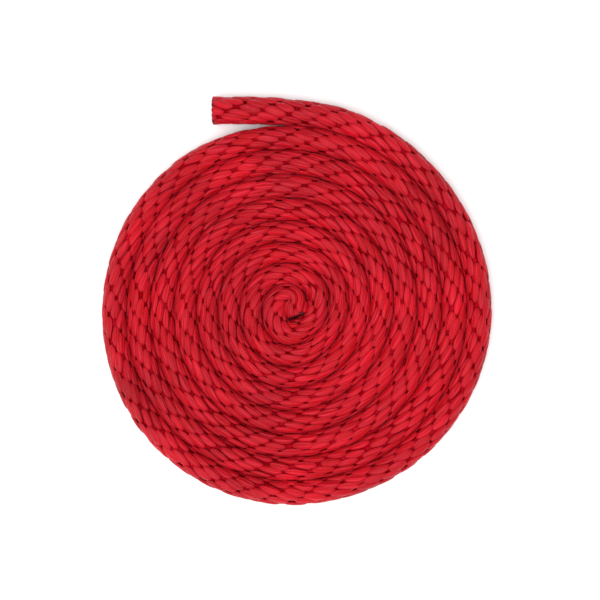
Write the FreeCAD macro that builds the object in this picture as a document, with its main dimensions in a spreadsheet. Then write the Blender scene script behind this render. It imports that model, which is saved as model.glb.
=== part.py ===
import FreeCAD, Part
import math
import os
import Sketcher

# A length of solid-braid dock line laid down as a flat spiral coil, one layer deep.
#
# Frame: millimetres, +Z up, the coil lies on Z = 0, and the origin is the middle of its underside.
# Seen from above the rope runs clockwise from its tail into the eye of the coil.
#
# rope_coil        closed outer shape of all the turns, stepped where the tail leaves it
# rope_tail        the stretch of rope between the coil and its outer end
# outer_fused_end  melted skin over the cut face of the tail
# inner_fused_end  melted skin over the cut face that is folded into the eye

DRIVING_SIZES = (
    ("rope_diameter", 12.7, "diameter of the rope, and height of the coil"),
    ("coil_radius", 102.8, "outer radius of the coil where the tail leaves it"),
    ("tail_bearing", 75.0, "direction of the step where the tail leaves, degrees from +X"),
    ("rim_round", 5.6, "radius of the coil's rounded rim, top and bottom"),
    ("fused_thickness", 1.1, "thickness of the melted skin on a cut end"),
    ("fused_diameter", 12.3, "diameter of the melted skin on a cut end"),
    ("fused_round", 0.4, "rounding round the outer face of the melted skin"),
    ("eye_x", 2.9, "centre of the inner cut face, along X"),
    ("eye_y", -4.3, "centre of the inner cut face, along Y"),
    ("eye_bearing", -74.0, "direction that the inner cut face looks, degrees from +X"),
    ("slit_width", 2.8, "width of the slit in front of the inner cut face"),
    ("slit_length", 14.0, "length of the slit in front of the inner cut face"),
)

# The tail's route after it leaves the step, chosen by hand: (X, Y) of each corner of its runs.
TAIL_ROUTE = (
    (3.0, 97.7),
    (-11.0, 98.2),
    (-25.0, 98.25),
    (-38.0, 98.1),
)
FIRST_RUN = 9.6      # straight length in which the tail leaves the step
ARC_SHARE = 0.45     # share of the shorter run that each arc of the tail takes up

doc = FreeCAD.newDocument("dock_line")


def make_sheet():
    """The driving dimensions, one row each: alias, value and meaning."""
    sheet = doc.addObject("Spreadsheet::Sheet", "Sizes")
    for row, (alias, value, meaning) in enumerate(DRIVING_SIZES, start=1):
        sheet.set(f"A{row}", alias)
        sheet.set(f"B{row}", str(value))
        sheet.set(f"C{row}", meaning)
        sheet.setAlias(f"B{row}", alias)
    doc.recompute()
    return sheet


sizes = make_sheet()


def new_body(label):
    body = doc.addObject("PartDesign::Body", label)
    body.Label = label
    return body


def new_sketch(body, name):
    """A sketch on the XY plane of its own body."""
    plane = next(item for item in body.Origin.OriginFeatures if item.Role == "XY_Plane")
    sketch = body.newObject("Sketcher::SketchObject", name)
    sketch.AttachmentSupport = [(plane, "")]
    sketch.MapMode = "FlatFace"
    return sketch


def bind(sketch, constraint, expression):
    """Add a dimension to a sketch and drive it from the sheet."""
    index = sketch.addConstraint(constraint)
    sketch.setExpression(f"Constraints[{index}]", expression)


def round_edges(body, base, name, edges, radius):
    fillet = body.newObject("PartDesign::Fillet", name)
    fillet.Base = (base, edges)
    fillet.setExpression("Radius", radius)
    doc.recompute()
    return fillet


def edges_at_height(shape, height, keep=lambda edge: True):
    """Names of the edges that lie flat at one height."""
    names = []
    for number, edge in enumerate(shape.Edges, start=1):
        box = edge.BoundBox
        flat = abs(box.ZMin - height) < 1e-6 and abs(box.ZMax - height) < 1e-6
        if flat and keep(edge):
            names.append(f"Edge{number}")
    return names


def draw_spiral(sketch):
    """One turn of spiral from four tangent quarter arcs, closed by the step where the tail leaves.

    The arcs' centres are the corners of a square whose side is a quarter of the rope's diameter, so the
    radius loses one diameter in the turn. The step lies along the sketch's +X.
    """
    side = sizes.rope_diameter / 4
    corners = ((1, 1), (1, -1), (-1, -1), (-1, 1))
    up = FreeCAD.Vector(0, 0, 1)
    radius = sizes.coil_radius - side / 2
    arcs = []
    for turn, (right, top) in enumerate(corners):
        centre = FreeCAD.Vector(right * side / 2, top * side / 2, 0)
        circle = Part.Circle(centre, up, radius - turn * side)
        first = -math.pi / 2 * (turn + 1)
        arcs.append(sketch.addGeometry(Part.ArcOfCircle(circle, first, first + math.pi / 2)))
        for kind, sign in (("DistanceX", right), ("DistanceY", top)):
            ends = (-1, 1, arcs[turn], 3) if sign > 0 else (arcs[turn], 3, -1, 1)
            bind(sketch, Sketcher.Constraint(kind, *ends, side / 2), "Sizes.rope_diameter / 8")
    outside = FreeCAD.Vector(radius + side / 2, side / 2, 0)
    inside = FreeCAD.Vector(radius - 3.5 * side, side / 2, 0)
    step = sketch.addGeometry(Part.LineSegment(outside, inside))
    bind(
        sketch,
        Sketcher.Constraint("Radius", arcs[0], radius),
        "Sizes.coil_radius - Sizes.rope_diameter / 8",
    )
    for arc, following in zip(arcs, arcs[1:]):
        sketch.addConstraint(Sketcher.Constraint("Tangent", arc, 1, following, 2))
    sketch.addConstraint(Sketcher.Constraint("Coincident", step, 1, arcs[0], 2))
    sketch.addConstraint(Sketcher.Constraint("Coincident", step, 2, arcs[3], 1))
    sketch.addConstraint(Sketcher.Constraint("Horizontal", step))
    sketch.addConstraint(Sketcher.Constraint("Horizontal", arcs[0], 3, arcs[0], 2))


def draw_slit(sketch, angle):
    """The slit in front of the inner cut face: a rectangle that starts at that face."""
    along = FreeCAD.Vector(math.cos(angle), math.sin(angle), 0)
    across = FreeCAD.Vector(-along.y, along.x, 0)
    face = FreeCAD.Rotation(FreeCAD.Vector(0, 0, 1), -sizes.tail_bearing).multVec(
        FreeCAD.Vector(sizes.eye_x, sizes.eye_y, 0)
    )
    half = across * (sizes.slit_length / 2)
    depth = along * sizes.slit_width
    corners = (face - half, face + half, face + half + depth, face - half + depth)
    for corner, following in zip(corners, corners[1:] + corners[:1]):
        sketch.addGeometry(Part.LineSegment(corner, following))


def make_coil():
    body = new_body("rope_coil")
    outline = new_sketch(body, "coil_outline")
    draw_spiral(outline)
    pad = body.newObject("PartDesign::Pad", "coil_height")
    pad.Profile = outline
    pad.setExpression("Length", "Sizes.rope_diameter")
    doc.recompute()
    rim = edges_at_height(pad.Shape, 0, lambda edge: edge.Curve.TypeId == "Part::GeomCircle")
    rim += edges_at_height(
        pad.Shape, sizes.rope_diameter, lambda edge: edge.Curve.TypeId == "Part::GeomCircle"
    )
    rounded = round_edges(body, pad, "coil_rim", rim, "Sizes.rim_round")
    slit = new_sketch(body, "eye_slit")
    draw_slit(slit, math.radians(sizes.eye_bearing - sizes.tail_bearing))
    pocket = body.newObject("PartDesign::Pocket", "eye")
    pocket.Profile = slit
    pocket.Type = "ThroughAll"
    pocket.Reversed = True
    doc.recompute()
    cut = rounded.Shape.Volume - pocket.Shape.Volume
    full_slit = sizes.slit_length * sizes.slit_width * sizes.rope_diameter
    print(f"slit takes {cut:.1f} mm3 of {full_slit:.1f}")
    body.setExpression("Placement.Rotation.Angle", "Sizes.tail_bearing")
    return body


def rounded_route(points):
    """Edges of straight runs joined by tangent arcs, each arc as large as its two runs allow."""
    edges = []
    start = points[0]
    for before, corner, after in zip(points, points[1:], points[2:]):
        to_before = (before - corner).normalize()
        to_after = (after - corner).normalize()
        turn = math.pi - to_before.getAngle(to_after)
        setback = ARC_SHARE * min(before.distanceToPoint(corner), after.distanceToPoint(corner))
        radius = setback / math.tan(turn / 2)
        enter = corner + to_before * setback
        leave = corner + to_after * setback
        bisector = (to_before + to_after).normalize()
        middle = corner + bisector * (radius / math.cos(turn / 2) - radius)
        edges.append(Part.LineSegment(start, enter).toShape())
        edges.append(Part.Arc(enter, middle, leave).toShape())
        print(f"tail turns {math.degrees(turn):.1f} degrees, radius {radius:.0f} mm")
        start = leave
    edges.append(Part.LineSegment(start, points[-1]).toShape())
    return edges


def tail_points():
    """Corners of the tail's route, starting square to the middle of the coil's step."""
    bearing = math.radians(sizes.tail_bearing)
    outward = FreeCAD.Vector(math.cos(bearing), math.sin(bearing), 0)
    onward = FreeCAD.Vector(-outward.y, outward.x, 0)
    level = sizes.rope_diameter / 2
    start = outward * (sizes.coil_radius - sizes.rope_diameter / 2) + onward * (sizes.rope_diameter / 8)
    start.z = level
    corners = [FreeCAD.Vector(x, y, level) for x, y in TAIL_ROUTE]
    return [start, start + onward * FIRST_RUN] + corners


def make_tail(points):
    path = doc.addObject("Part::Feature", "tail_path")
    path.Shape = Part.Wire(rounded_route(points))
    section = doc.addObject("Part::Circle", "tail_section")
    section.setExpression("Radius", "Sizes.rope_diameter / 2")
    heading = points[1] - points[0]
    section.Placement = FreeCAD.Placement(points[0], FreeCAD.Rotation(FreeCAD.Vector(0, 0, 1), heading))
    tail = doc.addObject("Part::Sweep", "rope_tail")
    tail.Label = "rope_tail"
    tail.Sections = [section]
    tail.Spine = (path, [f"Edge{number}" for number in range(1, len(path.Shape.Edges) + 1)])
    tail.Solid = True
    doc.recompute()
    expected = math.pi * (sizes.rope_diameter / 2) ** 2 * path.Shape.Length
    print(f"tail {path.Shape.Length:.1f} mm long, volume {tail.Shape.Volume:.0f}, expected {expected:.0f}")
    return tail


def make_fused_end(label, position, facing):
    """A thin melted disc that stands on a cut face and looks along facing."""
    body = new_body(label)
    outline = new_sketch(body, label + "_outline")
    up = FreeCAD.Vector(0, 0, 1)
    circle = outline.addGeometry(Part.Circle(FreeCAD.Vector(), up, sizes.fused_diameter / 2))
    outline.addConstraint(Sketcher.Constraint("Coincident", circle, 3, -1, 1))
    bind(
        outline,
        Sketcher.Constraint("Diameter", circle, sizes.fused_diameter),
        "Sizes.fused_diameter",
    )
    pad = body.newObject("PartDesign::Pad", label + "_skin")
    pad.Profile = outline
    pad.setExpression("Length", "Sizes.fused_thickness")
    doc.recompute()
    outer = edges_at_height(pad.Shape, sizes.fused_thickness)
    round_edges(body, pad, label + "_round", outer, "Sizes.fused_round")
    body.Placement = FreeCAD.Placement(position, FreeCAD.Rotation(up, facing))
    return body


def check(objects):
    doc.recompute()
    for item in doc.Objects:
        bad = [word for word in item.State if word in ("Invalid", "Error")]
        if bad:
            raise RuntimeError(f"{item.Label} is {bad}")
    for item in objects:
        if item.Shape.isNull() or not item.Shape.isValid() or len(item.Shape.Solids) != 1:
            raise RuntimeError(f"{item.Label} is not one valid solid")


def main():
    route = tail_points()
    eye_angle = math.radians(sizes.eye_bearing)
    eye = FreeCAD.Vector(sizes.eye_x, sizes.eye_y, sizes.rope_diameter / 2)
    parts = [
        make_coil(),
        make_tail(route),
        make_fused_end("outer_fused_end", route[-1], route[-1] - route[-2]),
        make_fused_end(
            "inner_fused_end", eye, FreeCAD.Vector(math.cos(eye_angle), math.sin(eye_angle), 0)
        ),
    ]
    check(parts)
    os.makedirs("parts", exist_ok=True)
    for part in parts:
        part.Shape.exportStep(f"parts/{part.Label}.step")
        box = part.Shape.optimalBoundingBox()
        spans = ((box.XMin, box.XMax), (box.YMin, box.YMax), (box.ZMin, box.ZMax))
        print(part.Label, f"{part.Shape.Volume:.0f} mm3", [f"{low:.2f}..{high:.2f}" for low, high in spans])


main()
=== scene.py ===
import math

import bpy
import numpy as np
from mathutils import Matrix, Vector


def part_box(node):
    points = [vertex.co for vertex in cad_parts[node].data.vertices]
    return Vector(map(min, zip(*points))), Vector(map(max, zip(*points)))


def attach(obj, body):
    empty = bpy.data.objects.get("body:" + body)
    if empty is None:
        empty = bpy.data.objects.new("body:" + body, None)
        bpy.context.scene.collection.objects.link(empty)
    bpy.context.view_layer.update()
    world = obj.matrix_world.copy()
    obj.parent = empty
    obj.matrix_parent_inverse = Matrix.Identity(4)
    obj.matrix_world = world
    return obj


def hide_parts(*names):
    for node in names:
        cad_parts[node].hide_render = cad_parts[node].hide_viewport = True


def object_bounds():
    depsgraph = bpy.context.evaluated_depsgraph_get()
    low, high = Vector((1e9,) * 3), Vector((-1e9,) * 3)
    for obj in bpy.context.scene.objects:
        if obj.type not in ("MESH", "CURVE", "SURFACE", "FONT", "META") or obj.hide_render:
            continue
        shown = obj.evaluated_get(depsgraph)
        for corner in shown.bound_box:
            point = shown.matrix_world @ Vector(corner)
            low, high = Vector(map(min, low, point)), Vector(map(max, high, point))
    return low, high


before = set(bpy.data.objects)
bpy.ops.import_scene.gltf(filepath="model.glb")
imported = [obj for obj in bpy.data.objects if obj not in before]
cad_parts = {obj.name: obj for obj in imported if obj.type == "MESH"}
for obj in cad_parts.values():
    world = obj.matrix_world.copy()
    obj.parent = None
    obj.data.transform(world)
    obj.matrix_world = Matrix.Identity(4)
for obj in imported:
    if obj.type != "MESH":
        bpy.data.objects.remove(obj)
cad_low, cad_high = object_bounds()

# ---------------------------------------------------------------------------------------------------
# Sizes, in metres and radians. The rope runs clockwise, seen from above, from its tail into the eye.
# ---------------------------------------------------------------------------------------------------
ROPE_DIAMETER = 0.0127
ROPE_RADIUS = ROPE_DIAMETER / 2
ROPE_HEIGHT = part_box("rope_tail")[1].z

# The tail's route, from its cut end to the step where the coil starts: the CAD's points, with those
# nearest the coil moved or given.
TAIL_ROUTE = (
    (-0.0380, 0.0981),
    (-0.0250, 0.09825),
    (-0.0110, 0.09785),
    (0.0030, 0.0968),
    (0.0139, 0.0951),
)

# The coil: a spiral that closes in by a little less with each turn. It is slightly out of round, and
# its outer turns, which nothing holds, are further out of it: (lobes, size, bearing of one of them).
COIL_START = math.radians(75)
COIL_TURNS = 6.3
COIL_POINTS_PER_TURN = 24
COIL_RADIUS = 0.102576
COIL_CLOSING = 0.014648
COIL_EASING = 0.000364
COIL_CENTRE = (-0.00025, -0.001285)
COIL_DRIFT = (-0.0002, 0.0001)
COIL_LOBES = ((2, 0.00064, math.radians(78)), (3, 0.00070, math.radians(24)))
LOOSE_TURNS = 2.0
LOOSE_PULL = 0.005886
LOOSE_LOBES = ((2, 0.00065, math.radians(-32)), (3, 0.00135, math.radians(-27)))

# The innermost turn, which folds back on itself into the eye of the coil and ends there.
EYE_ROUTE = (
    (0.0075, -0.0244),
    (-0.0051, -0.0250),
    (-0.0155, -0.0184),
    (-0.0199, -0.0075),
    (-0.0199, 0.0036),
    (-0.0142, 0.0134),
    (-0.0039, 0.0174),
    (0.0061, 0.0163),
    (0.0142, 0.0107),
    (0.0158, 0.0013),
    (0.0137, -0.0054),
    (0.0092, -0.0102),
    (0.0042, -0.0129),
    (-0.0021, -0.0138),
    (-0.0070, -0.0106),
    (-0.0095, -0.0042),
    (-0.0086, 0.0024),
    (-0.0044, 0.0065),
    (0.0013, 0.0059),
    (0.0017, 0.0000),
    (0.0027, -0.0030),
)

# The braid: twelve strands, each making one stitch per pitch and then crossing inside to a new column.
STRANDS = 12
COLUMNS = 12
STITCH_PITCH = 0.01305
COLUMNS_CROSSED = 3
RINGS_PER_STITCH = 30
SIDES = 14

# How unevenly the stitches lie: spreads of their place (pitches), column (columns), depth and width.
UNEVEN_PLACE = 0.040
UNEVEN_COLUMN = 0.09
UNEVEN_DEPTH = 0.018
UNEVEN_WIDTH = 0.11

# One stitch as the control points of a smooth closed pattern: how far along (in pitches) and how far
# round (in columns) from the stitch's middle, distance from the rope's centreline, half width and half
# thickness (all in rope radii). The strand rises out of one hole of the braid, fills the slanting field
# between its neighbours and dives steeply into the next hole, then crosses to a column further on.
STITCH = np.array((
    (-0.460, 0.14, 0.56, 0.05, 0.10),
    (-0.425, 0.14, 0.80, 0.13, 0.12),
    (-0.345, 0.13, 0.895, 0.22, 0.14),
    (-0.225, 0.11, 0.915, 0.29, 0.15),
    (-0.110, 0.06, 0.92, 0.340, 0.15),
    (-0.005, 0.00, 0.92, 0.355, 0.15),
    (0.105, -0.06, 0.915, 0.340, 0.15),
    (0.220, -0.11, 0.905, 0.29, 0.15),
    (0.340, -0.13, 0.895, 0.215, 0.14),
    (0.410, -0.15, 0.86, 0.13, 0.12),
    (0.438, -0.17, 0.73, 0.06, 0.10),
    (0.455, -0.50, 0.60, 0.04, 0.08),
    (0.475, -1.40, 0.48, 0.04, 0.07),
    (0.515, -2.30, 0.48, 0.04, 0.07),
))

# The rope lies with some twist in it, now one way and now the other, so its columns of stitches wind
# slowly round it: a steady twist, and waves of it (how strong, how long, where along the rope one peaks).
STEADY_TWIST = -5.0
TWIST_WAVES = ((9.3, 2.29, 1.350), (10.4, 0.924, 0.354), (6.9, 0.729, 0.109), (5.8, 0.378, 0.147))

rng = np.random.default_rng(7)

# Lengths of the rope are fuller or slacker than others: how much wider stitches lie, and over what length.
FULLNESS = 0.06
FULLNESS_LENGTH = 0.045


# ---------------------------------------------------------------------------------------------------
# The camera looks straight down at the middle of the object
# ---------------------------------------------------------------------------------------------------
VIEW_WIDTH = 0.300
LENS, SENSOR = 85.0, 36.0
VIEW_SHIFT = (0.00143, -0.00039)


def make_camera():
    middle = (cad_low + cad_high) / 2
    data = bpy.data.cameras.new("camera")
    data.lens, data.sensor_width = LENS, SENSOR
    data.clip_start, data.clip_end = 0.01, 20
    camera = bpy.data.objects.new("camera", data)
    bpy.context.scene.collection.objects.link(camera)
    distance = VIEW_WIDTH * LENS / SENSOR
    camera.location = (middle.x + VIEW_SHIFT[0], middle.y + VIEW_SHIFT[1], ROPE_RADIUS + distance)
    bpy.context.scene.camera = camera


make_camera()


# ---------------------------------------------------------------------------------------------------
# The rope's centreline: one NURBS spline
# ---------------------------------------------------------------------------------------------------
def lobed(lobes, angle):
    return sum(size * math.cos(count * (angle - at)) for count, size, at in lobes)


def coil_point(turn):
    """The coil's line after a number of turns from its outer end."""
    angle = COIL_START - 2 * math.pi * turn
    loose = math.exp(-turn / LOOSE_TURNS)
    radius = COIL_RADIUS - COIL_CLOSING * turn + COIL_EASING * turn * turn + lobed(COIL_LOBES, angle)
    radius += loose * (lobed(LOOSE_LOBES, angle) - LOOSE_PULL)
    radius /= math.cos(math.pi / COIL_POINTS_PER_TURN)
    return (
        COIL_CENTRE[0] + COIL_DRIFT[0] * turn + radius * math.cos(angle),
        COIL_CENTRE[1] + COIL_DRIFT[1] * turn + radius * math.sin(angle),
    )


def make_route():
    """The centreline as points about half a millimetre apart, read from the spline."""
    steps = range(round(COIL_TURNS * COIL_POINTS_PER_TURN) + 1)
    coil = [coil_point(step / COIL_POINTS_PER_TURN) for step in steps]
    points = [*TAIL_ROUTE, *coil, *EYE_ROUTE]
    curve = bpy.data.curves.new("route", "CURVE")
    curve.dimensions = "3D"
    curve.resolution_u = 10
    spline = curve.splines.new("NURBS")
    spline.points.add(len(points) - 1)
    for point, (x, y) in zip(spline.points, points):
        point.co = (x, y, ROPE_HEIGHT / 2, 1)
    spline.order_u = 3
    spline.use_endpoint_u = True
    holder = bpy.data.objects.new("route", curve)
    mesh = bpy.data.meshes.new_from_object(holder)
    line = np.array([v.co for v in mesh.vertices], float)
    bpy.data.meshes.remove(mesh)
    bpy.data.objects.remove(holder)
    bpy.data.curves.remove(curve)
    return line


ROUTE = make_route()
STEPS = np.linalg.norm(np.diff(ROUTE, axis=0), axis=1)
ALONG = np.concatenate([[0], np.cumsum(STEPS)])
ROPE_LENGTH = float(ALONG[-1])
TANGENT = np.gradient(ROUTE, ALONG, axis=0)
TANGENT /= np.linalg.norm(TANGENT, axis=1)[:, None]
OUTWARD = np.stack([-TANGENT[:, 1], TANGENT[:, 0], np.zeros(len(TANGENT))], axis=1)
HEADING = np.unwrap(np.arctan2(TANGENT[:, 1], TANGENT[:, 0]))
BEND_RADIUS = 1 / np.maximum(-np.gradient(HEADING, ALONG), 1e-6)

# The section: close to an ellipse, whose exponent would be 2, and as wide on each side as the neighbour
# leaves it. Inside a tight bend it is crushed, so that it never reaches past the bend's centre.
SECTION_EXPONENT = 1.85
FREE_HALF_WIDTH = 0.0061
TAIL_HALF_WIDTH = 0.0066
EYE_HALF_WIDTH = 0.0068
CRUSHED = 0.92
PRESSED = 1.02
TOUCHING = 0.0072

# Between the tail and the turn that it stands off there is a slit: where each side of it lies along the
# rope, the half distance at which it closes, and the half width of the turn.
TAIL_STANDS_OFF = 0.044
BESIDE_TAIL = (0.570, 0.618)
SLIT_CLOSES = 0.0062
BESIDE_TAIL_HALF_WIDTH = 0.0058
HAIRLINE = 0.00002

# The strands run on past the centreline's ends, where heat has fused them together.
FUSED = 0.0009


def neighbour_distance(side):
    """Distance from each point of the line to the next part of it on one side, straight across."""
    across = OUTWARD[:, :2] * side
    start, run = ROUTE[:-1, :2], np.diff(ROUTE[:, :2], axis=0)
    gap = start[None] - ROUTE[:, None, :2]
    with np.errstate(divide="ignore", invalid="ignore"):
        cross = across[:, None, 1] * run[None, :, 0] - across[:, None, 0] * run[None, :, 1]
        reach = (gap[..., 1] * run[None, :, 0] - gap[..., 0] * run[None, :, 1]) / cross
        share = (across[:, None, 0] * gap[..., 1] - across[:, None, 1] * gap[..., 0]) / -cross
    met = (share >= 0) & (share <= 1) & (reach > ROPE_RADIUS / 4)
    return np.where(met, reach, np.inf).min(axis=1)


def smooth(values, width=0.003):
    even = np.arange(0, ROPE_LENGTH, 0.0005)
    kernel = np.hanning(2 * int(width / 0.0005) + 1)
    padded = np.pad(np.interp(even, ALONG, values), len(kernel) // 2, mode="edge")
    return np.interp(ALONG, even, np.convolve(padded, kernel / kernel.sum(), mode="valid"))


UNPRESSED = np.interp(
    ALONG,
    [0, 0.07, 0.15, ROPE_LENGTH - 0.10, ROPE_LENGTH - 0.03],
    [TAIL_HALF_WIDTH, TAIL_HALF_WIDTH, FREE_HALF_WIDTH, FREE_HALF_WIDTH, EYE_HALF_WIDTH],
)
FACES_TAIL = (ALONG > BESIDE_TAIL[0]) & (ALONG < BESIDE_TAIL[1])
UNPRESSED = smooth(np.where(FACES_TAIL, BESIDE_TAIL_HALF_WIDTH, UNPRESSED))
CLOSES = np.where(FACES_TAIL | (ALONG < TAIL_STANDS_OFF), SLIT_CLOSES, TOUCHING)
OUTER_CONTACT = smooth(np.minimum(neighbour_distance(1) / 2, 2 * ROPE_DIAMETER))
INNER_CONTACT = smooth(np.minimum(neighbour_distance(-1) / 2, 2 * ROPE_DIAMETER))
OUTER_HALF_WIDTH = smooth(np.where(OUTER_CONTACT < CLOSES, OUTER_CONTACT * PRESSED, UNPRESSED))
INNER_HALF_WIDTH = np.where(INNER_CONTACT < CLOSES, INNER_CONTACT * PRESSED, UNPRESSED)
INNER_HALF_WIDTH = smooth(np.minimum(INNER_HALF_WIDTH, CRUSHED * BEND_RADIUS))


def at(values, along):
    """Values known at the route's points, at any distances along the rope."""
    flat = np.ravel(along)
    found = np.stack([np.interp(flat, ALONG, values[:, k]) for k in range(values.shape[1])], axis=1)
    return found.reshape(*np.shape(along), values.shape[1])


def lay_on_rope(along, around, radius):
    """Points at a distance along the rope, an angle round it from its top (positive outwards) and a
    distance from its centreline in rope radii."""
    outer = np.interp(along, ALONG, OUTER_HALF_WIDTH)
    inner = np.interp(along, ALONG, INNER_HALF_WIDTH)
    across = np.sin(around)
    up = np.sign(np.cos(around)) * (1 - np.abs(across) ** SECTION_EXPONENT) ** (1 / SECTION_EXPONENT)
    side = np.where(across > 0, outer, inner) * radius * across
    side = np.minimum(side, np.interp(along, ALONG, OUTER_CONTACT) - HAIRLINE)
    side = np.maximum(side, HAIRLINE - np.interp(along, ALONG, INNER_CONTACT))
    rise = np.maximum(ROPE_HEIGHT / 2 * radius * up, -ROPE_HEIGHT / 2)
    beyond = along - np.clip(along, 0, ROPE_LENGTH)
    points = at(ROUTE, along) + at(TANGENT, along) * beyond[..., None] + at(OUTWARD, along) * side[..., None]
    points[..., 2] += rise
    return points


# Painted shade in the creases between turns, well up their sides: from how far across the rope it starts,
# and by how much it lowers the height in the braid, by which the material darkens.
CREASE_SHADE_START = 0.70
CREASE_SHADE_DEPTH = 0.18


def painted_crease_shade(along, around):
    """How far into the crease beside a neighbouring turn a point lies, from 0 to 1: where shade is painted.
    """
    across = np.sin(around)
    outer, inner = np.interp(along, ALONG, OUTER_CONTACT), np.interp(along, ALONG, INNER_CONTACT)
    pressed = np.where(across > 0, outer, inner) < TOUCHING
    return pressed * np.clip((np.abs(across) - CREASE_SHADE_START) / (1 - CREASE_SHADE_START), 0, 1)


# ---------------------------------------------------------------------------------------------------
# Meshes
# ---------------------------------------------------------------------------------------------------
def mesh_piece(name, vertices, heights, faces, uv, material, replaced=()):
    """A smooth mesh from arrays: a height in the braid per vertex, by which the material paints shade, and
    one uv pair per face corner.
    """
    mesh = bpy.data.meshes.new(name)
    mesh.from_pydata(vertices.tolist(), [], faces)
    layer = mesh.uv_layers.new(name="yarn")
    layer.data.foreach_set("uv", np.asarray(uv, np.float32).ravel())
    height = mesh.attributes.new("height", "FLOAT", "POINT")
    height.data.foreach_set("value", np.asarray(heights, np.float32).ravel())
    mesh.polygons.foreach_set("use_smooth", [True] * len(mesh.polygons))
    mesh.materials.append(material)
    mesh.update()
    piece = bpy.data.objects.new(name, mesh)
    bpy.context.scene.collection.objects.link(piece)
    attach(piece, "root")
    if replaced:
        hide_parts(*replaced)
    return piece


def tube_faces(rings, sides):
    """Quads of a tube of rings, and an n-gon over each end."""
    ring, side = np.meshgrid(np.arange(rings - 1), np.arange(sides), indexing="ij")
    nxt = (side + 1) % sides
    quads = np.stack([
        ring * sides + side,
        ring * sides + nxt,
        (ring + 1) * sides + nxt,
        (ring + 1) * sides + side,
    ], axis=-1).reshape(-1, 4)
    caps = [list(range(sides))[::-1], list(range((rings - 1) * sides, rings * sides))]
    return quads.tolist() + caps


def tube_uv(lengths, sides):
    """u along the tube in metres, v once round it; the end caps get one point each."""
    rings = len(lengths)
    ring, side = np.meshgrid(np.arange(rings - 1), np.arange(sides), indexing="ij")
    u0, u1 = lengths[ring], lengths[ring + 1]
    v0, v1 = side / sides, (side + 1) / sides
    quads = np.stack([
        np.stack([u0, v0], -1), np.stack([u0, v1], -1), np.stack([u1, v1], -1), np.stack([u1, v0], -1),
    ], axis=2).reshape(-1, 2)
    caps = np.concatenate([np.full((sides, 2), (lengths[0], 0.5)), np.full((sides, 2), (lengths[-1], 0.5))])
    return np.concatenate([quads, caps])


def pattern(cycles):
    """The stitch pattern at any number of cycles along a strand, by a uniform cubic B-spline."""
    count = len(STITCH)
    place = cycles * count
    index = np.floor(place).astype(int)
    part = (place - index)[:, None]
    weights = (
        (1 - part) ** 3 / 6,
        (3 * part ** 3 - 6 * part ** 2 + 4) / 6,
        (-3 * part ** 3 + 3 * part ** 2 + 3 * part + 1) / 6,
        part ** 3 / 6,
    )
    total = np.zeros((len(cycles), STITCH.shape[1]))
    for offset, weight in enumerate(weights):
        row = index + offset - 1
        cycle = np.floor_divide(row, count)
        values = STITCH[row % count].copy()
        values[:, 0] += cycle
        values[:, 1] -= COLUMNS_CROSSED * cycle
        total += weight * values
    return total


def slow_twist(along):
    """How far the columns of stitches have wound round the rope by a distance along it."""
    waves = sum(
        rate * length / (2 * math.pi) * np.sin(2 * math.pi * (along - peak) / length)
        for rate, length, peak in TWIST_WAVES
    )
    return STEADY_TWIST * along + waves


FULL_ALONG = np.arange(0, ROPE_LENGTH + FULLNESS_LENGTH, FULLNESS_LENGTH)
FULL = FULLNESS * rng.normal(0, 1, len(FULL_ALONG))


def make_strand(number, material):
    """One strand from end to end: a flattened tube that follows the stitch pattern."""
    phase = (number % 3) / 3
    cycles = np.arange(-1.5, ROPE_LENGTH / STITCH_PITCH + 1.5, 1 / RINGS_PER_STITCH)
    path = pattern(cycles)
    knots = np.arange(-3, cycles[-1] + 3)
    uneven = [np.interp(cycles, knots, rng.normal(0, 1, len(knots))) for _ in range(4)]
    along = (path[:, 0] + phase + UNEVEN_PLACE * uneven[0]) * STITCH_PITCH
    column = path[:, 1] + number + UNEVEN_COLUMN * uneven[1]
    around = column * 2 * math.pi / COLUMNS
    depth, half_width, half_thickness = path[:, 2], path[:, 3], path[:, 4]
    depth = depth * (1 + UNEVEN_DEPTH * uneven[2])
    half_width = half_width * (1 + UNEVEN_WIDTH * uneven[3] + np.interp(along, FULL_ALONG, FULL))
    angle = np.arange(SIDES) / SIDES * 2 * math.pi - math.pi / 2
    wide = np.cos(angle)[None, :] * half_width[:, None]
    high = np.sin(angle)[None, :] * half_thickness[:, None]
    ring_along = along[:, None] + np.zeros(SIDES)
    ring_around = around[:, None] + wide / np.maximum(depth, 0.6)[:, None]
    ring_radius = depth[:, None] + high
    inside = (along > -FUSED) & (along < ROPE_LENGTH + FUSED)
    first, last = np.flatnonzero(inside)[[0, -1]]
    ring_along = ring_along[first:last + 1]
    ring_along[0], ring_along[-1] = -FUSED, ROPE_LENGTH + FUSED
    ring_around = ring_around[first:last + 1] + slow_twist(ring_along)
    ring_radius = ring_radius[first:last + 1]
    vertices = lay_on_rope(ring_along, ring_around, ring_radius)
    # Painted shade: the height in the braid is lowered in the creases between turns, and the material
    # darkens by it.
    heights = ring_radius - CREASE_SHADE_DEPTH * painted_crease_shade(ring_along, ring_around)
    rings = last - first + 1
    lengths = cycles[first:last + 1] * STITCH_PITCH
    return mesh_piece(
        f"strand_{number + 1:02d}",
        vertices.reshape(-1, 3),
        heights,
        tube_faces(rings, SIDES),
        tube_uv(lengths, SIDES),
        material,
    )


CORE_RADIUS = 0.73
CORE_SIDES = 24
CORE_STEP = 0.003
CORE_LOBES = 6


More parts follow.
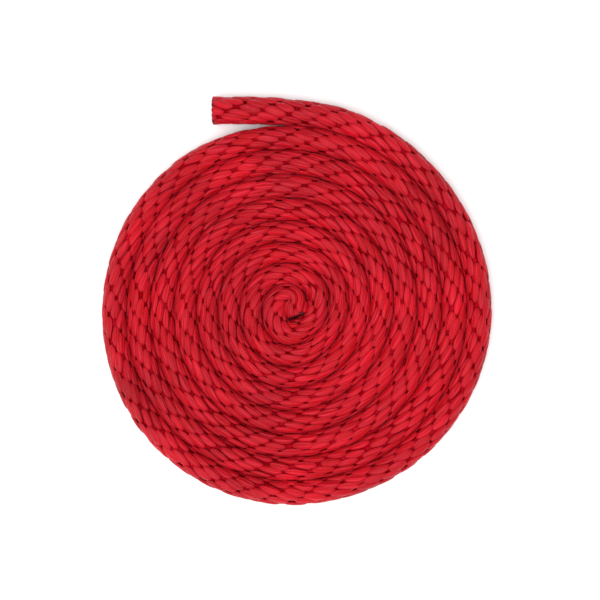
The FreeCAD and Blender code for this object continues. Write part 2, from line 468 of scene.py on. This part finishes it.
def make_core(material):
    """Filler yarns that the strands close over: a loosely twisted bundle."""
    along = np.arange(0.0004, ROPE_LENGTH - 0.0004, CORE_STEP)
    around = np.arange(CORE_SIDES) / CORE_SIDES * 2 * math.pi
    grid_along, grid_around = np.meshgrid(along, around, indexing="ij")
    radius = CORE_RADIUS * (1 + 0.05 * np.cos(CORE_LOBES * (grid_around - grid_along / 0.03)))
    vertices = lay_on_rope(grid_along, grid_around, radius)
    # Painted shade: the core lies low in the braid, so the material paints it dark, as shade in the holes.
    return mesh_piece(
        "core_yarns",
        vertices.reshape(-1, 3),
        radius,
        tube_faces(len(along), CORE_SIDES),
        tube_uv(along, CORE_SIDES),
        material,
    )


# A fused end, from its skirt inside the rope to the middle of its face: distance past the strands' tips
# and radius (rope radii).
FUSED_PROFILE = (
    (-0.0014, 0.66), (-0.0012, 0.86), (-0.0007, 0.955), (-0.0002, 0.985), (0.0001, 0.97), (0.0002, 0.91),
    (0.0003, 0.80), (0.0003, 0.64), (0.0002, 0.46), (0.0001, 0.28), (0.0001, 0.12), (0.0001, 0.03),
)
FUSED_SIDES = 72
FUSED_LUMPS = 0.00022
OUTER_UNDERCUT = 0.0002
INNER_UNDERCUT = 0.0024


def make_fused_end(name, forward, undercut, material, replaced):
    """The strands' tips, melted together into a lumpy skin over the end of the rope. It was cut askew, so
    the foot of the face reaches further out than its top."""
    past = np.array([distance for distance, _ in FUSED_PROFILE])
    radius = np.array([radius for _, radius in FUSED_PROFILE])
    around = np.arange(FUSED_SIDES) / FUSED_SIDES * 2 * math.pi
    grid_radius, grid_around = np.meshgrid(radius, around, indexing="ij")
    ripple = 0.012 * np.cos(STRANDS * grid_around + 0.7) + 0.008 * np.cos(7 * grid_around + 2.1)
    lumps = np.cos(STRANDS * grid_around + 0.7) * np.exp(-((grid_radius - 0.80) / 0.12) ** 2)
    lumps += 0.8 * np.cos(5 * grid_around + 1.3) * np.exp(-((grid_radius - 0.45) / 0.15) ** 2)
    lumps = FUSED_LUMPS * lumps * (past > 0)[:, None]
    askew = undercut * (1 - grid_radius * np.cos(grid_around)) / 2
    distance = FUSED + past[:, None] + lumps + askew * (past > -0.001)[:, None]
    along = ROPE_LENGTH + distance if forward else -distance
    vertices = lay_on_rope(along, grid_around, grid_radius * (1 + ripple))
    faces = tube_faces(len(past), FUSED_SIDES)
    uv = tube_uv(past, FUSED_SIDES)
    if not forward:
        faces = [face[::-1] for face in faces]
    return mesh_piece(
        name, vertices.reshape(-1, 3), grid_radius, faces, uv, material, (replaced,)
    )


# ---------------------------------------------------------------------------------------------------
# Materials
# ---------------------------------------------------------------------------------------------------
def principled(name):
    material = bpy.data.materials.new(name)
    material.use_nodes = True
    return material, material.node_tree, material.node_tree.nodes["Principled BSDF"]


def yarn_material():
    material, tree, shader = principled("red_yarn")
    nodes, links = tree.nodes, tree.links
    coordinates = nodes.new("ShaderNodeUVMap")
    coordinates.uv_map = "yarn"
    stretch = nodes.new("ShaderNodeMapping")
    stretch.inputs["Scale"].default_value = (120, 40, 1)
    links.new(coordinates.outputs["UV"], stretch.inputs["Vector"])
    filaments = nodes.new("ShaderNodeTexNoise")
    filaments.inputs["Scale"].default_value = 1
    filaments.inputs["Detail"].default_value = 3
    links.new(stretch.outputs["Vector"], filaments.inputs["Vector"])
    ramp = nodes.new("ShaderNodeValToRGB")
    ramp.color_ramp.elements[0].position = 0.36
    ramp.color_ramp.elements[0].color = (0.35, 0.0004, 0.003, 1)
    ramp.color_ramp.elements[1].position = 0.62
    ramp.color_ramp.elements[1].color = (0.48, 0.0045, 0.016, 1)
    gather = nodes.new("ShaderNodeMapping")
    gather.inputs["Scale"].default_value = (70, 12, 1)
    links.new(coordinates.outputs["UV"], gather.inputs["Vector"])
    bundles = nodes.new("ShaderNodeTexNoise")
    bundles.inputs["Scale"].default_value = 1
    bundles.inputs["Detail"].default_value = 1
    links.new(gather.outputs["Vector"], bundles.inputs["Vector"])
    links.new(bundles.outputs["Fac"], ramp.inputs["Fac"])

    # Each stitch takes the dye and the light a little differently, and so do whole lengths of the rope.
    stitch = nodes.new("ShaderNodeVectorMath")
    stitch.operation = "SNAP"
    stitch.inputs[1].default_value = (STITCH_PITCH, 1000, 1000)
    links.new(coordinates.outputs["UV"], stitch.inputs[0])
    strand = nodes.new("ShaderNodeObjectInfo")
    shift = nodes.new("ShaderNodeVectorMath")
    shift.operation = "ADD"
    links.new(stitch.outputs["Vector"], shift.inputs[0])
    links.new(strand.outputs["Random"], shift.inputs[1])
    each = nodes.new("ShaderNodeTexWhiteNoise")
    links.new(shift.outputs["Vector"], each.inputs["Vector"])
    place = nodes.new("ShaderNodeTexCoord")
    patches = nodes.new("ShaderNodeTexNoise")
    patches.inputs["Scale"].default_value = 38
    patches.inputs["Detail"].default_value = 2
    links.new(place.outputs["Object"], patches.inputs["Vector"])
    both = nodes.new("ShaderNodeMath")
    both.operation = "MULTIPLY_ADD"
    both.inputs[1].default_value = 0.25
    links.new(each.outputs["Value"], both.inputs[0])
    links.new(patches.outputs["Fac"], both.inputs[2])
    value = nodes.new("ShaderNodeMapRange")
    value.inputs["From Min"].default_value = 0.35
    value.inputs["From Max"].default_value = 1.0
    value.inputs["To Min"].default_value = 0.76
    value.inputs["To Max"].default_value = 1.20
    links.new(both.outputs["Value"], value.inputs["Value"])

    # Painted shade: the edges of a stitch, the holes of the braid and the creases between turns are painted
    # darker than the top of a stitch, by their height in the braid, and are made duller there.
    height = nodes.new("ShaderNodeAttribute")
    height.attribute_name = "height"
    open_to_light = nodes.new("ShaderNodeMapRange")
    open_to_light.interpolation_type = "SMOOTHSTEP"
    open_to_light.inputs["From Min"].default_value = 0.72
    open_to_light.inputs["From Max"].default_value = 0.96
    links.new(height.outputs["Fac"], open_to_light.inputs["Value"])
    painted_shade_factor = nodes.new("ShaderNodeMapRange")
    painted_shade_factor.inputs["To Min"].default_value = 0.88
    painted_shade_factor.inputs["To Max"].default_value = 1.08
    links.new(open_to_light.outputs["Result"], painted_shade_factor.inputs["Value"])
    product = nodes.new("ShaderNodeMath")
    product.operation = "MULTIPLY"
    links.new(value.outputs["Result"], product.inputs[0])
    links.new(painted_shade_factor.outputs["Result"], product.inputs[1])
    gloss = nodes.new("ShaderNodeMath")
    gloss.operation = "MULTIPLY"
    gloss.inputs[1].default_value = 0.20
    links.new(open_to_light.outputs["Result"], gloss.inputs[0])
    links.new(gloss.outputs["Value"], shader.inputs["Specular IOR Level"])
    sheen = nodes.new("ShaderNodeMath")
    sheen.operation = "MULTIPLY"
    sheen.inputs[1].default_value = 0.05
    links.new(open_to_light.outputs["Result"], sheen.inputs[0])
    links.new(sheen.outputs["Value"], shader.inputs["Sheen Weight"])

    shade = nodes.new("ShaderNodeHueSaturation")
    links.new(product.outputs["Value"], shade.inputs["Value"])
    links.new(ramp.outputs["Color"], shade.inputs["Color"])
    links.new(shade.outputs["Color"], shader.inputs["Base Color"])

    # Fine filaments, over bundles of them that leave creases along each stitch.
    creases = nodes.new("ShaderNodeBump")
    creases.inputs["Strength"].default_value = 0.7
    creases.inputs["Distance"].default_value = 0.0016
    links.new(bundles.outputs["Fac"], creases.inputs["Height"])
    bump = nodes.new("ShaderNodeBump")
    bump.inputs["Strength"].default_value = 0.35
    bump.inputs["Distance"].default_value = 0.0003
    links.new(filaments.outputs["Fac"], bump.inputs["Height"])
    links.new(creases.outputs["Normal"], bump.inputs["Normal"])
    links.new(bump.outputs["Normal"], shader.inputs["Normal"])
    shader.inputs["Roughness"].default_value = 0.42
    shader.inputs["Specular Tint"].default_value = (1, 0.7, 0.8, 1)
    shader.inputs["Subsurface Weight"].default_value = 0.4
    shader.inputs["Subsurface Radius"].default_value = (1.0, 0.1, 0.1)
    shader.inputs["Subsurface Scale"].default_value = 0.0012
    shader.inputs["Sheen Roughness"].default_value = 0.4
    shader.inputs["Sheen Tint"].default_value = (1, 0.5, 0.55, 1)
    return material


def melted_and_painted_shade_material():
    material, tree, shader = principled("melted_yarn_and_painted_shade")
    nodes, links = tree.nodes, tree.links
    place = nodes.new("ShaderNodeTexCoord")
    lumps = nodes.new("ShaderNodeTexNoise")
    lumps.inputs["Scale"].default_value = 600
    links.new(place.outputs["Object"], lumps.inputs["Vector"])
    # The melted face is partly darker as melted yarn, and partly painted shade along the cut end.
    ramp = nodes.new("ShaderNodeValToRGB")
    ramp.color_ramp.elements[0].color = (0.030, 0.0006, 0.0015, 1)
    ramp.color_ramp.elements[1].color = (0.110, 0.0020, 0.0050, 1)
    links.new(lumps.outputs["Fac"], ramp.inputs["Fac"])
    links.new(ramp.outputs["Color"], shader.inputs["Base Color"])
    bump = nodes.new("ShaderNodeBump")
    bump.inputs["Strength"].default_value = 0.5
    bump.inputs["Distance"].default_value = 0.0004
    links.new(lumps.outputs["Fac"], bump.inputs["Height"])
    links.new(bump.outputs["Normal"], shader.inputs["Normal"])
    shader.inputs["Roughness"].default_value = 0.55
    shader.inputs["Specular IOR Level"].default_value = 0.25
    return material


yarn = yarn_material()
# The melted ends' material: melted yarn's colour, with painted shade along the cut ends.
melted = melted_and_painted_shade_material()
strands = [make_strand(number, yarn) for number in range(STRANDS)]
core = make_core(yarn)
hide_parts("rope_coil", "rope_tail")

ends = [
    make_fused_end("outer_melted_end", False, OUTER_UNDERCUT, melted, "outer_fused_end"),
    make_fused_end("inner_melted_end", True, INNER_UNDERCUT, melted, "inner_fused_end"),
]


# ---------------------------------------------------------------------------------------------------
# Floor and studio light
# ---------------------------------------------------------------------------------------------------
def make_floor():
    size = 5.0
    mesh = bpy.data.meshes.new("floor")
    corners = [(-size, -size, 0), (size, -size, 0), (size, size, 0), (-size, size, 0)]
    mesh.from_pydata(corners, [], [(0, 1, 2, 3)])
    material, tree, shader = principled("pale_floor")
    shader.inputs["Base Color"].default_value = (0.92, 0.92, 0.92, 1)
    shader.inputs["Roughness"].default_value = 0.9
    mesh.materials.append(material)
    floor = bpy.data.objects.new("floor", mesh)
    bpy.context.scene.collection.objects.link(floor)


def soft_light(name, place, size, power):
    data = bpy.data.lights.new(name, "AREA")
    data.shape = "SQUARE"
    data.size = size
    data.energy = power
    light = bpy.data.objects.new(name, data)
    light.location = place
    light.rotation_mode = "QUATERNION"
    light.rotation_quaternion = (-Vector(place)).to_track_quat("-Z", "Y")
    bpy.context.scene.collection.objects.link(light)


make_floor()
soft_light("key", (-0.27, -0.38, 1.20), 1.2, 17)
soft_light("fill", (0.6, 0.6, 1.1), 0.9, 3)
world = bpy.data.worlds.new("studio")
world.use_nodes = True
world.node_tree.nodes["Background"].inputs["Color"].default_value = (1, 1, 1, 1)
world.node_tree.nodes["Background"].inputs["Strength"].default_value = 0.7
bpy.context.scene.world = world
bpy.context.scene.view_settings.view_transform = "Standard"
